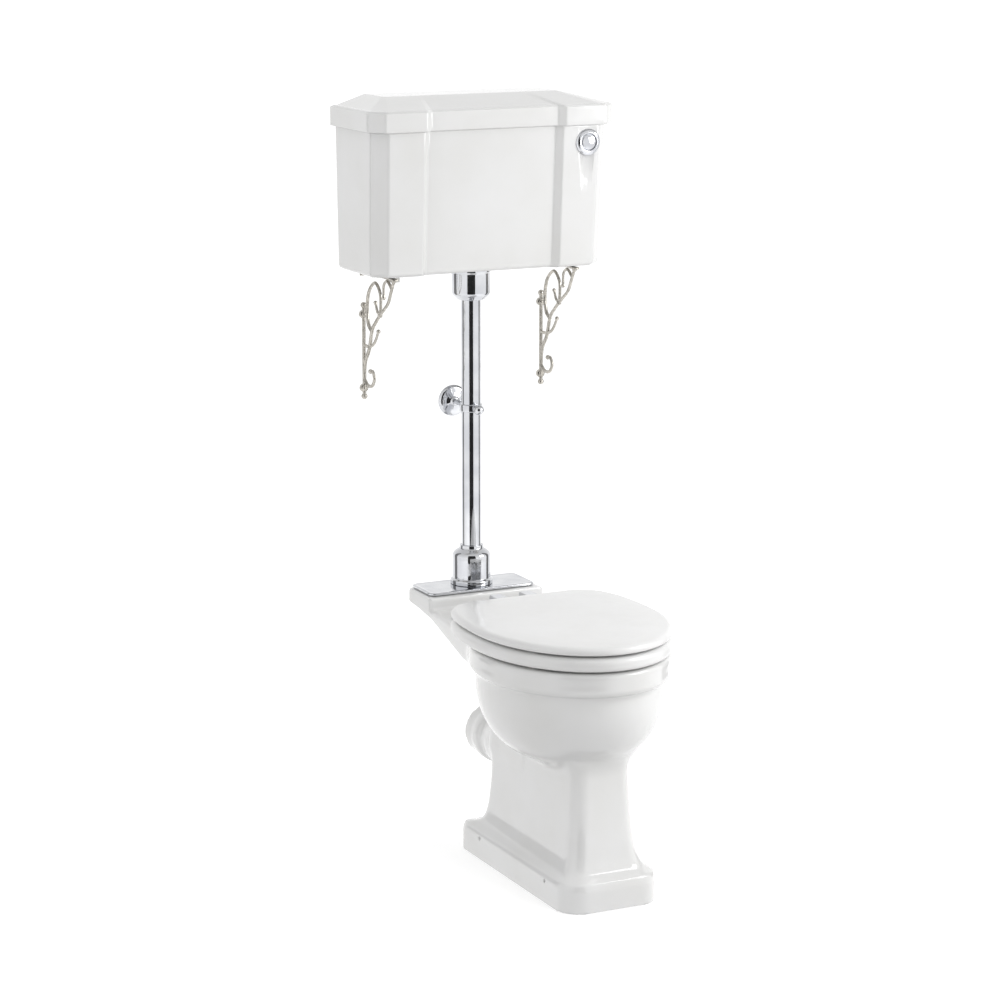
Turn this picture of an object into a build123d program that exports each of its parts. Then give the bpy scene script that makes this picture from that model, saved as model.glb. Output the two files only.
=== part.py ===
from build123d import *
import os

# A medium-level toilet: a floor-standing pan, a chrome flush pipe and a cistern on scroll
# brackets. Millimetres. The origin is on the floor under the middle of the whole
# object, +Z is up, the front faces -Y and the wall is the plane y = wall_y.
# Depths are given as distances out from the wall.

os.makedirs("parts", exist_ok=True)

# Driving dimensions
depth = 731.5  # wall to the front of the seat
wall_y = depth / 2

foot_half_w, foot_back, foot_front, foot_h = 98.0, 242.0, 695.0, 54.0
column_half_w, column_back = 56.0, 288.0
fixing_z, fixing_r, fixing_back, fixing_front = 42.0, 4.0, 330.0, 605.0
rim_z, rim_half_w, rim_back, rim_front, rim_h = 454.0, 180.0, 292.0, 726.0, 42.0
mouth_half_w, mouth_half_l, mouth_mid = 116.0, 150.0, 520.0
deck_half_w, deck_back, shelf_front, shelf_z = 121.0, 41.0, 150.0, 476.0
outlet_z, outlet_r, outlet_back, outlet_l, trap_bore_r = 205.0, 51.0, 160.0, 60.0, 38.0

pipe_d, pipe_r, pipe_wall = 85.0, 19.0, 1.5  # 1 1/2 inch flush pipe, its axis out from the wall
pipe_low, pipe_high = 464.0, 1088.0
plate_half_w, plate_back, plate_front, plate_z = 113.5, 43.5, 141.0, 482.6
clamp_z, clamp_h = 832.0, 15.0

hinge_d, hinge_z, hinge_r, hinge_half = 262.0, 478.0, 5.0, 92.0
post_x, seat_back = 77.5, 296.0
ring_low, ring_high, lid_low, lid_high = 459.0, 484.0, 489.0, 505.5
seat_gap = 0.3  # what the rubber buffers keep between seat, lid and pan

tank_half_w, tank_depth, tank_low, tank_high, tank_wall = 244.0, 195.0, 1107.0, 1380.0, 10.0
tank_taper, tank_cant, tank_step = 17.0, 25.0, 12.0
panel_half_w = 132.0  # the recessed middle panel of the cistern
cover_half_w, cover_depth, cover_rim_z, cover_z = 255.0, 206.0, 1420.0, 1438.0
plateau_half_w, plateau_depth = 184.0, 90.0

button_x, button_z, button_r, bezel_r = 196.0, 1347.0, 16.0, 25.5
crank_d, crank_z, crank_r, finger_l, lever_l = 50.0, 1314.0, 5.0, 33.0, 36.0
run_gap = 0.05  # radial clearance of a running fit
fill_x, fill_d, float_z, float_x = -150.0, 60.0, 1322.0, -62.0

bracket_x, rod_r = 191.0, 3.8


def out(distance):
    """The y of a point that far out from the wall."""
    return wall_y - distance


def upright(x, distance):
    """The vertical plane x-z through a point, for profiles turned about its own z axis."""
    return Plane(origin=(x, out(distance), 0), x_dir=(1, 0, 0), z_dir=(0, -1, 0))


def post_axis(x, distance):
    """The vertical axis through a point."""
    return Axis((x, out(distance), 0), (0, 0, 1))


def turn(points, x, distance, mode=Mode.ADD):
    """Adds a solid turned about the vertical axis at a point: points are (radius, height)."""
    with BuildSketch(upright(x, distance)) as profile:
        with BuildLine():
            Polyline(*points, close=True)
        make_face()
    revolve(profile.sketch, axis=post_axis(x, distance), mode=mode)


def oval(half_w, back, front, z, inset=0.0):
    """An ellipse on a level plane, from its back and front distances."""
    with BuildSketch(Plane.XY.offset(z)) as section:
        with Locations((0, out((back + front) / 2))):
            Ellipse(half_w - inset, (front - back) / 2 - inset)
    return section.sketch


def canted(half_w, back, front, cant, z, inset=0.0):
    """A level rectangle with its two front corners cut off at 45 degrees."""
    w, b, f = half_w - inset, back + inset, front - inset
    with BuildSketch(Plane.XY.offset(z)) as section:
        with BuildLine():
            Polyline(
                (-w, out(b)), (w, out(b)), (w, out(f - cant)), (w - cant, out(f)),
                (cant - w, out(f)), (-w, out(f - cant)), close=True,
            )
        make_face()
    return section.sketch


def side_profile(points):
    """A face on the y-z plane, from (distance from wall, height) points."""
    with BuildSketch(Plane.YZ) as section:
        with BuildLine():
            Polyline(*[(out(d), z) for d, z in points], close=True)
        make_face()
    return section.sketch


def save(part, name):
    """Names a finished piece and writes its STEP file."""
    part.label = name
    export_step(part, f"parts/{name}.step")


# The pan, one piece of glazed fireclay: foot and column, bowl, rim, deck with its raised shelf,
# and the horizontal trap outlet.
column = [  # height, half width, back, front, cant
    (foot_h, 96.0, 246.0, 693.0, 26.0),
    (62.0, 87.0, 270.0, 684.0, 24.0),
    (80.0, 77.0, 290.0, 672.0, 20.0),
    (110.0, 69.0, 294.0, 662.0, 18.0),
    (150.0, 63.0, 291.0, 654.0, 16.0),
    (200.0, 58.0, column_back, 650.0, 14.0),
    (262.0, column_half_w, column_back, 646.0, 14.0),
]
bowl = [  # height, half width, back, front
    (rim_z - rim_h + 3, 173.0, 300.0, 718.0),
    (380.0, 168.0, 304.0, 712.0),
    (350.0, 163.0, 310.0, 706.0),
    (320.0, 154.0, 324.0, 693.0),
    (290.0, 137.0, 346.0, 671.0),
    (265.0, 110.0, 380.0, 638.0),
    (248.0, 74.0, 425.0, 592.0),
]
wall = 12.0
trap = [(530, 280), (530, 150), (440, 150), (345, 285), (270, outlet_z), (outlet_back, outlet_z)]
trap_bend = 55.0

with BuildPart() as pan:
    extrude(canted(foot_half_w, foot_back, foot_front, 27.0, 0), amount=foot_h)
    loft([canted(w, back, front, cant, z) for z, w, back, front, cant in column], ruled=True)
    loft([oval(w, back, front, z) for z, w, back, front in reversed(bowl)])
    extrude(oval(rim_half_w, rim_back, rim_front, rim_z - rim_h), amount=rim_h)
    fillet(pan.edges().filter_by(GeomType.ELLIPSE).group_by(Axis.Z)[-1], 7)
    with BuildSketch(Plane.XY.offset(400)):
        with BuildLine():
            Polyline(
                (-deck_half_w, out(deck_back)), (deck_half_w, out(deck_back)),
                (deck_half_w, out(shelf_front)), (150, out(400)),
                (-150, out(400)), (-deck_half_w, out(shelf_front)), close=True,
            )
        make_face()
        fillet(vertices().group_by(Axis.Y)[-1], 18)
    extrude(amount=shelf_z - 400)
    under_deck = [(20, 380), (20, 455), (78, 446), (345, 403), (345, 380)]
    extrude(side_profile(under_deck), amount=200, both=True, mode=Mode.SUBTRACT)
    over_deck = [(shelf_front, 500), (shelf_front, shelf_z), (159, rim_z), (420, rim_z), (420, 500)]
    extrude(side_profile(over_deck), amount=200, both=True, mode=Mode.SUBTRACT)
    # the casing of the trap, behind the bowl
    with BuildSketch(Plane.XY.offset(200)):
        with Locations((0, out((column_back + 430) / 2))):
            RectangleRounded(2 * column_half_w, 430 - column_back, 12)
    extrude(amount=218)
    # the hollow inside of the column, open underneath
    hollow = [(0, foot_half_w, foot_back, foot_front, 27.0)] + column[:-1]
    loft(
        [canted(w, back, front, cant, z, inset=wall) for z, w, back, front, cant in hollow],
        ruled=True, mode=Mode.SUBTRACT,
    )
    # the hollows under the deck, one each side of the flush channel
    for side in (-1, 1):
        with BuildSketch(Plane.XY.offset(380)):
            with BuildLine():
                Polyline(
                    (side * 40, out(56)), (side * 106, out(56)), (side * 106, out(150)),
                    (side * 125, out(300)), (side * 40, out(270)), close=True,
                )
            make_face()
        extrude(amount=60, mode=Mode.SUBTRACT)
    # the trap, a bent pipe from the sump to the outlet spigot
    with BuildLine() as trap_line:
        FilletPolyline(*[(0, out(d), z) for d, z in trap], radius=trap_bend)
    with BuildSketch(Plane(origin=(0, out(trap[0][0]), trap[0][1]), z_dir=(0, 0, -1))):
        Circle(trap_bore_r + 10)
    sweep(path=trap_line.line)
    with BuildSketch(Plane(origin=(0, out(outlet_back), outlet_z), z_dir=(0, -1, 0))):
        Circle(outlet_r)
    extrude(amount=outlet_l)
    with BuildSketch(Plane(origin=(0, out(outlet_back + outlet_l), outlet_z), z_dir=(0, -1, 0))):
        Circle(trap_bore_r + 10)
    extrude(amount=outlet_l + 5)
    with BuildSketch(Plane(origin=(0, out(trap[0][0]), trap[0][1]), z_dir=(0, 0, -1))):
        Circle(trap_bore_r)
    sweep(path=trap_line.line, mode=Mode.SUBTRACT)
    # the bowl inside: the mouth, the open flushing rim round it and the basin
    mouth = oval(mouth_half_w, mouth_mid - mouth_half_l, mouth_mid + mouth_half_l, rim_z - 20)
    extrude(mouth, amount=30, mode=Mode.SUBTRACT)
    basin = [(z + 4, w, back, front) for z, w, back, front in reversed(bowl[1:-1])]
    loft([oval(w, back, front, z, inset=wall + 3) for z, w, back, front in basin], mode=Mode.SUBTRACT)
    chamber_z, chamber_w, chamber_back, chamber_front = basin[-1]
    chamber = oval(chamber_w, chamber_back, chamber_front, chamber_z, inset=wall + 3)
    extrude(chamber, amount=rim_z - 14 - chamber_z, mode=Mode.SUBTRACT)
    with BuildSketch(Plane.XY.offset(rim_z - 40)):
        with Locations((0, out(mouth_mid))):
            Ellipse(mouth_half_w + 8, mouth_half_l + 8)
            Ellipse(mouth_half_w, mouth_half_l, mode=Mode.SUBTRACT)
    extrude(amount=30)
    # the flush channel: down from the shelf and forward into the rim
    with BuildSketch(Plane.XY.offset(458)):
        with Locations((0, out(pipe_d))):
            Circle(27.5)
    extrude(amount=30, mode=Mode.SUBTRACT)
    channel = [(60, 468), (112, 468), (190, 444), (345, 440), (345, 418), (112, 451), (60, 458)]
    extrude(side_profile(channel), amount=26, both=True, mode=Mode.SUBTRACT)
    # holes for the seat bolts and for the floor screws
    with Locations(*[(side * post_x, out(hinge_d), rim_z) for side in (-1, 1)]):
        Hole(7, depth=60)
    for distance in (fixing_back, fixing_front):
        with BuildSketch(Plane(origin=(-110, out(distance), fixing_z), z_dir=(1, 0, 0))):
            Circle(fixing_r)
        extrude(amount=220, mode=Mode.SUBTRACT)
save(pan.part, "pan")

# The shelf on the pan: a rubber gasket, a pressed chrome plate over it, and round the foot of the
# flush pipe a rubber cone and a turned chrome cap.
with BuildPart() as shelf_gasket:
    with BuildSketch(Plane.XY.offset(shelf_z)):
        with Locations((0, out((plate_back + plate_front) / 2))):
            RectangleRounded(2 * plate_half_w - 8, plate_front - plate_back - 8, 10)
        with Locations((0, out(pipe_d))):
            Circle(29, mode=Mode.SUBTRACT)
    extrude(amount=1.5)
save(shelf_gasket.part, "shelf_gasket")

with BuildPart() as shelf_plate:
    with BuildSketch(Plane.XY.offset(shelf_z + 1.5)):
        with Locations((0, out((plate_back + plate_front) / 2))):
            RectangleRounded(2 * plate_half_w, plate_front - plate_back, 14)
    extrude(amount=plate_z - shelf_z - 1.5)
    fillet(shelf_plate.edges().group_by(Axis.Z)[-1], 2)
    with BuildSketch(Plane.XY.offset(shelf_z + 1.5)):
        with Locations((0, out((plate_back + plate_front) / 2))):
            RectangleRounded(2 * plate_half_w - 3, plate_front - plate_back - 3, 12.5)
    extrude(amount=3.4, mode=Mode.SUBTRACT)
    with Locations((0, out(pipe_d), plate_z)):
        Hole(22, depth=20)
save(shelf_plate.part, "shelf_plate")

with BuildPart() as flush_cone:
    turn(
        [
            (pipe_r, 459), (23, 459), (27.3, 466), (27.3, shelf_z), (28.5, shelf_z), (28.5, 480),
            (pipe_r, 480),
        ],
        0, pipe_d,
    )
save(flush_cone.part, "flush_cone")

cap_r, cap_top = 37.5, 560.0
with BuildPart() as lower_cap:
    turn(
        [
            (cap_r - 2.5, plate_z), (41.5, plate_z), (41.5, plate_z + 9), (cap_r, plate_z + 12),
            (cap_r, cap_top - 20), (cap_r - 4, cap_top - 13), (28, cap_top - 8), (23, cap_top - 5),
            (23, cap_top), (pipe_r + run_gap, cap_top), (pipe_r + run_gap, cap_top - 9),
            (cap_r - 2.5, cap_top - 20),
        ],
        0, pipe_d,
    )
save(lower_cap.part, "lower_cap")

# The flush pipe, held to the wall by a band clamp on a stem, with a domed wall rose and a ball nut.
with BuildPart() as flush_pipe:
    bore = pipe_r - pipe_wall
    turn([(bore, pipe_low), (pipe_r, pipe_low), (pipe_r, pipe_high), (bore, pipe_high)], 0, pipe_d)
save(flush_pipe.part, "flush_pipe")

with BuildPart() as pipe_clamp:
    turn(
        [
            (pipe_r, clamp_z - clamp_h / 2), (22, clamp_z - clamp_h / 2),
            (22, clamp_z + clamp_h / 2), (pipe_r, clamp_z + clamp_h / 2),
        ],
        0, pipe_d,
    )
    with BuildSketch(Plane(origin=(0, out(pipe_d + 21), clamp_z), z_dir=(0, -1, 0))):
        Circle(6)
    extrude(amount=5)
save(pipe_clamp.part, "pipe_clamp")

with BuildPart() as clamp_nut:
    with Locations((0, out(pipe_d + 35), clamp_z)):
        Sphere(10)
    cut_plane = Plane(origin=(0, out(pipe_d + 26), clamp_z), z_dir=(0, -1, 0))
    split(bisect_by=cut_plane, keep=Keep.TOP)
save(clamp_nut.part, "clamp_nut")

with BuildPart() as wall_rose:
    with BuildSketch(Plane.YZ.offset(0)) as rose_profile:
        with BuildLine():
            Polyline(
                (out(0), clamp_z), (out(0), clamp_z + 31), (out(3), clamp_z + 31),
                (out(6), clamp_z + 27), (out(8.5), clamp_z + 18), (out(10), clamp_z + 8),
                (out(15), clamp_z + 7), (out(15), clamp_z), close=True,
            )
        make_face()
    revolve(axis=Axis((0, 0, clamp_z), (0, 1, 0)))
save(wall_rose.part, "wall_rose")

with BuildPart() as clamp_stem:
    with BuildSketch(Plane(origin=(0, out(15), clamp_z), z_dir=(0, -1, 0))):
        Circle(5)
    extrude(amount=pipe_d - 22 - 15)
save(clamp_stem.part, "clamp_stem")

# The bell coupling under the cistern, which hides the nut of the flush valve.
bell_low, bell_r = 1043.0, 37.5
with BuildPart() as bell_coupling:
    turn(
        [
            (pipe_r + run_gap, bell_low), (24, bell_low), (31, bell_low + 5), (36, bell_low + 12),
            (bell_r, bell_low + 20), (bell_r, tank_low - 11), (39.5, tank_low - 9),
            (39.5, tank_low), (35.5, tank_low), (35.5, bell_low + 20), (29, bell_low + 9),
            (pipe_r + run_gap, bell_low + 9),
        ],
        0, pipe_d,
    )
save(bell_coupling.part, "bell_coupling")


# The cistern, a fireclay box with canted front corners and a recessed middle panel.
def tank_section(z, half_w, front, back=0.0, inset=0.0):
    """The level outline of the cistern or its cover: canted corners and a set-back panel."""
    w, f, p = half_w - inset, front - inset, panel_half_w - inset * 0.4
    right = [
        (w, out(back + inset)), (w, out(f - tank_cant)), (w - tank_cant, out(f)),
        (p + tank_step, out(f)), (p, out(f - tank_step)),
    ]
    left = [(-x, y) for x, y in reversed(right)]
    with BuildSketch(Plane.XY.offset(z)) as section:
        with BuildLine():
            Polyline(*right, *left, close=True)
        make_face()
    return section.sketch


valve_hole_r, fill_hole_r, floor_t = 30.5, 11.0, 12.0
wall_screw_x, wall_screw_z = 150.0, 1345.0
front_d = tank_depth - tank_taper * (tank_high - button_z) / (tank_high - tank_low)
button_seat = front_d - 1.4
with BuildPart() as cistern:
    loft(
        [
            tank_section(tank_low, tank_half_w - 4, tank_depth - tank_taper, back=-5),
            tank_section(tank_high, tank_half_w, tank_depth, back=-5),
        ],
        ruled=True,
    )
    split(bisect_by=Plane(origin=(0, wall_y, 0), z_dir=(0, -1, 0)), keep=Keep.TOP)
    chamfer(cistern.faces().sort_by(Axis.Z)[0].edges(), 4)
    loft(
        [
            tank_section(
                tank_low + floor_t, tank_half_w - 4, tank_depth - tank_taper, inset=tank_wall,
            ),
            tank_section(tank_high, tank_half_w, tank_depth, inset=tank_wall),
        ],
        ruled=True, mode=Mode.SUBTRACT,
    )
    with Locations((0, out(pipe_d), tank_low + floor_t)):
        Hole(valve_hole_r, depth=20)
    with Locations((fill_x, out(fill_d), tank_low + floor_t)):
        Hole(fill_hole_r, depth=20)
    # the button's hole, with a spot-faced seat for its bezel
    with BuildSketch(Plane(origin=(button_x, out(tank_depth + 10), button_z), z_dir=(0, 1, 0))):
        Circle(button_r + 2.4)
    extrude(amount=30, mode=Mode.SUBTRACT)
    with BuildSketch(Plane(origin=(button_x, out(button_seat), button_z), z_dir=(0, -1, 0))):
        Circle(bezel_r + 0.3)
    extrude(amount=10, mode=Mode.SUBTRACT)
    # the two holes for the wall screws
    with BuildSketch(Plane(origin=(0, out(-5), wall_screw_z), x_dir=(1, 0, 0), z_dir=(0, -1, 0))):
        with GridLocations(2 * wall_screw_x, 1, 2, 1):
            Circle(3.5)
    extrude(amount=25, mode=Mode.SUBTRACT)
save(cistern.part, "cistern")

with BuildPart() as cistern_lid:
    skirt = tank_section(tank_high + seat_gap, cover_half_w, cover_depth)
    extrude(skirt, amount=cover_rim_z - tank_high - seat_gap)
    with BuildSketch(Plane.XY.offset(cover_rim_z)) as hip_foot:
        with Locations((0, out(93))):
            Rectangle(2 * (cover_half_w - 11), 186)
    with BuildSketch(Plane.XY.offset(cover_z)) as hip_top:
        with Locations((0, out(plateau_depth / 2))):
            Rectangle(2 * plateau_half_w, plateau_depth)
    loft([hip_foot.sketch, hip_top.sketch], ruled=True)
    extrude(
        tank_section(tank_high + seat_gap, tank_half_w, tank_depth, inset=tank_wall + 12),
        amount=30, mode=Mode.SUBTRACT,
    )
    # the locating rib that drops inside the walls of the cistern
    rib = tank_section(tank_high - 6, tank_half_w, tank_depth, inset=tank_wall + 5)
    extrude(rib, amount=6 + seat_gap)
    extrude(
        tank_section(tank_high - 6, tank_half_w, tank_depth, inset=tank_wall + 12),
        amount=6 + seat_gap, mode=Mode.SUBTRACT,
    )
save(cistern_lid.part, "cistern_lid")

# Under and in the cistern: the flush valve. Its tail passes through the floor and takes the pipe.
flange_z = tank_low + floor_t
with BuildPart() as flush_washer:
    turn([(31, flange_z), (44, flange_z), (44, flange_z + 3), (31, flange_z + 3)], 0, pipe_d)
save(flush_washer.part, "flush_washer")

tower_r, tower_top, tail_r, seat_bore = 36.0, 1230.0, 29.5, 22.0
with BuildPart() as flush_valve:
    turn(
        [
            (seat_bore, 1076), (tail_r, 1076), (tail_r, flange_z + 3), (43, flange_z + 3),
            (43, flange_z + 8), (tower_r, flange_z + 8), (tower_r, tower_top),
            (4 + run_gap, tower_top), (4 + run_gap, tower_top - 4), (33, tower_top - 4),
            (33, flange_z + 8), (seat_bore, flange_z + 8),
        ],
        0, pipe_d,
    )
    with BuildSketch(Plane.XY.offset(flange_z + 18)):
        with Locations((0, out(pipe_d))):
            Rectangle(90, 26)
            Rectangle(26, 90)
    extrude(amount=52, mode=Mode.SUBTRACT)
save(flush_valve.part, "flush_valve")

with BuildPart() as flush_backnut:
    with BuildSketch(Plane.XY.offset(tank_low - 13)):
        with Locations((0, out(pipe_d))):
            RegularPolygon(34.5, 8)
            Circle(tail_r + run_gap, mode=Mode.SUBTRACT)
    extrude(amount=13)
save(flush_backnut.part, "flush_backnut")

seal_z = flange_z + 8.3
with BuildPart() as valve_seal:
    turn([(4, seal_z), (30, seal_z), (30, seal_z + 4), (4, seal_z + 4)], 0, pipe_d)
save(valve_seal.part, "valve_seal")

collar_z = crank_z + 3.6
with BuildPart() as lift_stem:
    turn(
        [
            (0, seal_z - 6), (4, seal_z - 6), (4, collar_z), (14, collar_z), (14, collar_z + 4),
            (4, collar_z + 4), (4, collar_z + 10), (0, collar_z + 10),
        ],
        0, pipe_d,
    )
save(lift_stem.part, "lift_stem")

spring_low, spring_high, spring_r, spring_turns = seal_z + 5.2, tower_top - 5.2, 12.0, 9
with BuildPart() as valve_spring:
    with BuildLine(Plane(origin=(0, out(pipe_d), spring_low))) as coil:
        spring_l = spring_high - spring_low
        Helix(pitch=spring_l / spring_turns, height=spring_l, radius=spring_r)
    with BuildSketch(Plane(origin=coil.line @ 0, z_dir=coil.line % 0)):
        Circle(1)
    sweep(path=coil.line, is_frenet=True)
save(valve_spring.part, "valve_spring")

overflow_x = 52.0
with BuildPart() as overflow_tube:
    turn(
        [
            (0, flange_z + 8), (10, flange_z + 8), (10, 1300), (8, 1300), (8, flange_z + 16),
            (0, flange_z + 16),
        ],
        overflow_x, pipe_d,
    )
    with Locations((overflow_x - 8, out(pipe_d), flange_z + 14)):
        Box(14, 12, 8)
save(overflow_tube.part, "overflow_tube")

# The push button: a threaded bezel with a nut inside the wall, a domed button and its rod.


def through_front(points):
    """A solid turned about the button's axis: points are (distance from wall, radius)."""
    with BuildSketch(Plane(origin=(button_x, 0, 0), x_dir=(0, 1, 0), z_dir=(1, 0, 0))) as profile:
        with BuildLine():
            Polyline(*[(out(d), button_z + r) for d, r in points], close=True)
        make_face()
    revolve(profile.sketch, axis=Axis((button_x, 0, button_z), (0, 1, 0)))


with BuildPart() as button_bezel:
    through_front([
        (front_d - 26, button_r + 0.4), (front_d + 5.5, button_r + 0.4),
        (front_d + 4.5, 22), (front_d + 1.5, bezel_r), (button_seat, bezel_r),
        (button_seat, button_r + 2),
        (front_d - 26, button_r + 2),
    ])
save(button_bezel.part, "button_bezel")

with BuildPart() as button_nut:
    nut_point = (button_x, out(front_d - tank_wall - 6.5), button_z)
    with BuildSketch(Plane(origin=nut_point, x_dir=(1, 0, 0), z_dir=(0, 1, 0))):
        RegularPolygon(21.6, 6, rotation=30)
        Circle(button_r + 2 + run_gap, mode=Mode.SUBTRACT)
    extrude(amount=6)
save(button_nut.part, "button_nut")

rod_tip = crank_d + 4 + 1  # distance from the wall of the rod's inner end
with BuildPart() as push_button:
    through_front([
        (front_d - 14, 0), (front_d - 14, button_r), (front_d + 3.5, button_r),
        (front_d + 6, button_r - 3), (front_d + 7, 0),
    ])
save(push_button.part, "push_button")

with BuildPart() as push_rod:
    through_front([(rod_tip, 0), (rod_tip, 3), (front_d - 14, 3), (front_d - 14, 0)])
save(push_rod.part, "push_rod")

# The rocker shaft that turns the push of the button into the lift of the valve stem.
with BuildPart() as crank_shaft:
    with BuildSketch(Plane(origin=(-16, out(crank_d), crank_z), z_dir=(1, 0, 0))):
        Circle(crank_r)
    extrude(amount=button_x + 22)
save(crank_shaft.part, "crank_shaft")


def crank_arm(x, width, tip_d, tip_z, tip_r):
    """A straight bar from the rocker shaft to a round tip, along y or z."""
    half_d, half_z = (0, tip_r) if tip_z == crank_z else (tip_r, 0)
    with BuildSketch(Plane.YZ.offset(x - width / 2)) as arm:
        with BuildLine():
            Polyline(
                (out(crank_d + half_d), crank_z + half_z), (out(tip_d + half_d), tip_z + half_z),
                (out(tip_d - half_d), tip_z - half_z), (out(crank_d - half_d), crank_z - half_z),
                close=True,
            )
        make_face()
        with Locations((out(tip_d), tip_z)):
            Circle(tip_r)
        with Locations((out(crank_d), crank_z)):
            Circle(crank_r + 3.5)
            Circle(crank_r, mode=Mode.SUBTRACT)
    extrude(arm.sketch, amount=width)


with BuildPart() as crank_finger:
    crank_arm(button_x, 10, crank_d, crank_z + finger_l, 4)
save(crank_finger.part, "crank_finger")

with BuildPart() as lift_lever:
    for side in (-1, 1):
        crank_arm(side * 9, 5, crank_d + lever_l - 1, crank_z, 3)
save(lift_lever.part, "lift_lever")

with BuildPart() as crank_bearings:
    for x in (40, 150):
        with BuildSketch(Plane.YZ.offset(x)):
            with Locations((out((tank_wall + 62) / 2), crank_z)):
                Rectangle(62 - tank_wall, 22)
            with Locations((out(crank_d), crank_z)):
                Circle(crank_r + run_gap, mode=Mode.SUBTRACT)
        extrude(amount=10)
save(crank_bearings.part, "crank_bearings")

# The filling valve: a column with a threaded tail, a float on a hinged arm and its piston.
fill_r, fill_top = 12.0, 1304.0
tail_low, tail_thread_top, inlet_r, shank_r = tank_low - 24, tank_low - 10, 10.48, 10.2
with BuildPart() as fill_valve:
    turn(
        [
            (4, tail_low), (inlet_r, tail_low), (inlet_r, tail_thread_top),
            (shank_r, tail_thread_top), (shank_r, flange_z + 3), (18, flange_z + 3),
            (18, flange_z + 8), (fill_r, flange_z + 8), (fill_r, fill_top), (4 + run_gap, fill_top),
            (4 + run_gap, 1250), (4, 1250),
        ],
        fill_x, fill_d,
    )
    for side in (-1, 1):
        with BuildSketch(Plane.XZ.offset(-out(fill_d) + side * 8 - 1.5)):
            with BuildLine():
                Polyline(
                    (fill_x - 6, 1290), (fill_x + 16, 1290), (fill_x + 16, float_z + 8),
                    (fill_x + 4, float_z + 8), (fill_x + 4, fill_top), (fill_x - 6, fill_top),
                    close=True,
                )
            make_face()
            with Locations((fill_x + 10, float_z)):
                Circle(3 + run_gap, mode=Mode.SUBTRACT)
        extrude(amount=3)
save(fill_valve.part, "fill_valve")

with BuildPart() as fill_washer:
    turn(
        [(11.2, flange_z), (19, flange_z), (19, flange_z + 3), (11.2, flange_z + 3)],
        fill_x, fill_d,
    )
save(fill_washer.part, "fill_washer")

with BuildPart() as fill_backnut:
    with BuildSketch(Plane.XY.offset(tank_low - 8)):
        with Locations((fill_x, out(fill_d))):
            RegularPolygon(17, 6)
            Circle(shank_r + run_gap, mode=Mode.SUBTRACT)
    extrude(amount=8)
save(fill_backnut.part, "fill_backnut")

pivot_x = fill_x + 10
with BuildPart() as float_arm:
    with BuildSketch(Plane.XZ.offset(-out(fill_d) - 5)):
        with BuildLine():
            Polyline(
                (pivot_x - 13, float_z - 3), (float_x, float_z - 3), (float_x, float_z + 3),
                (pivot_x - 13, float_z + 3), close=True,
            )
        make_face()
    extrude(amount=10)
    with BuildSketch(Plane.XZ.offset(-out(fill_d) - 10)):
        with Locations((pivot_x, float_z)):
            Circle(3)
    extrude(amount=20)
save(float_arm.part, "float_arm")

with BuildPart() as float_ball:
    turn(
        [
            (0, 1240), (30, 1240), (34, 1244), (34, 1305), (30, 1309), (12, 1309),
            (8, float_z - 3), (0, float_z - 3),
        ],
        float_x - 12, fill_d + 42,
    )
save(float_ball.part, "float_ball")

with BuildPart() as fill_piston:
    turn([(0, 1262), (4, 1262), (4, float_z - 3.6), (0, float_z - 3.6)], fill_x, fill_d)
save(fill_piston.part, "fill_piston")

# The seat and its lid: moulded wood, lacquered, one above the other on rubber buffers.
seat_half_w, seat_mid, seat_front_l = 183.5, 490.0, 240.0


def seat_outline(z, grow=0.0):
    """Half an ellipse in front, with the sides drawn in to a straight back edge."""
    w, back = seat_half_w + grow, seat_back
    with BuildSketch(Plane.XY.offset(z)) as outline:
        with BuildLine():
            EllipticalCenterArc(
                (0, out(seat_mid)), w, seat_front_l + grow, start_angle=180, arc_size=180,
            )
            side = Spline(
                (w, out(seat_mid)), (w - 10, out(380)), (148, out(312)), (92, out(back)),
                tangents=((0, 1), (-1, 0)),
            )
            mirror(side, about=Plane.YZ)
            Line((92, out(back)), (-92, out(back)))
        make_face()
    return outline.sketch


with BuildPart() as seat_ring:
    extrude(seat_outline(ring_low, grow=1.5), amount=ring_high - ring_low)
    fillet(seat_ring.edges().group_by(Axis.Z)[-1], 8)
    fillet(seat_ring.edges().group_by(Axis.Z)[0], 4)
    extrude(oval(108, 384, 660, ring_low), amount=40, mode=Mode.SUBTRACT)
save(seat_ring.part, "seat_ring")

with BuildPart() as seat_lid:
    extrude(seat_outline(lid_low), amount=lid_high - lid_low)
    fillet(seat_lid.edges().group_by(Axis.Z)[-1], 7)
    fillet(seat_lid.edges().group_by(Axis.Z)[0], 3)
save(seat_lid.part, "seat_lid")

buffer_places = [(side * x, out(d)) for side in (-1, 1) for x, d in ((142, 400), (128, 612))]
for name, low, high in (("ring_buffers", rim_z, ring_low), ("lid_buffers", ring_high, lid_low)):
    with BuildPart() as buffers:
        with BuildSketch(Plane.XY.offset(low + seat_gap)):
            with Locations(*buffer_places):
                RectangleRounded(11, 24, 5)
        extrude(amount=high - low - seat_gap)
    save(buffers.part, name)

# The bar hinge: two posts bolted through the deck, a bar, and the knuckles of seat and lid.
with BuildPart() as hinge_bar:
    with BuildSketch(Plane.YZ.offset(-hinge_half)):
        with Locations((out(hinge_d), hinge_z)):
            Circle(hinge_r)
    extrude(amount=2 * hinge_half)
save(hinge_bar.part, "hinge_bar")


def bar_hole(length):
    """Bores the hole for the hinge bar, with running clearance."""
    with BuildSketch(Plane.YZ.offset(-length)) as bore_face:
        with Locations((out(hinge_d), hinge_z)):
            Circle(hinge_r + run_gap)
    extrude(bore_face.sketch, amount=2 * length, mode=Mode.SUBTRACT)


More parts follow.
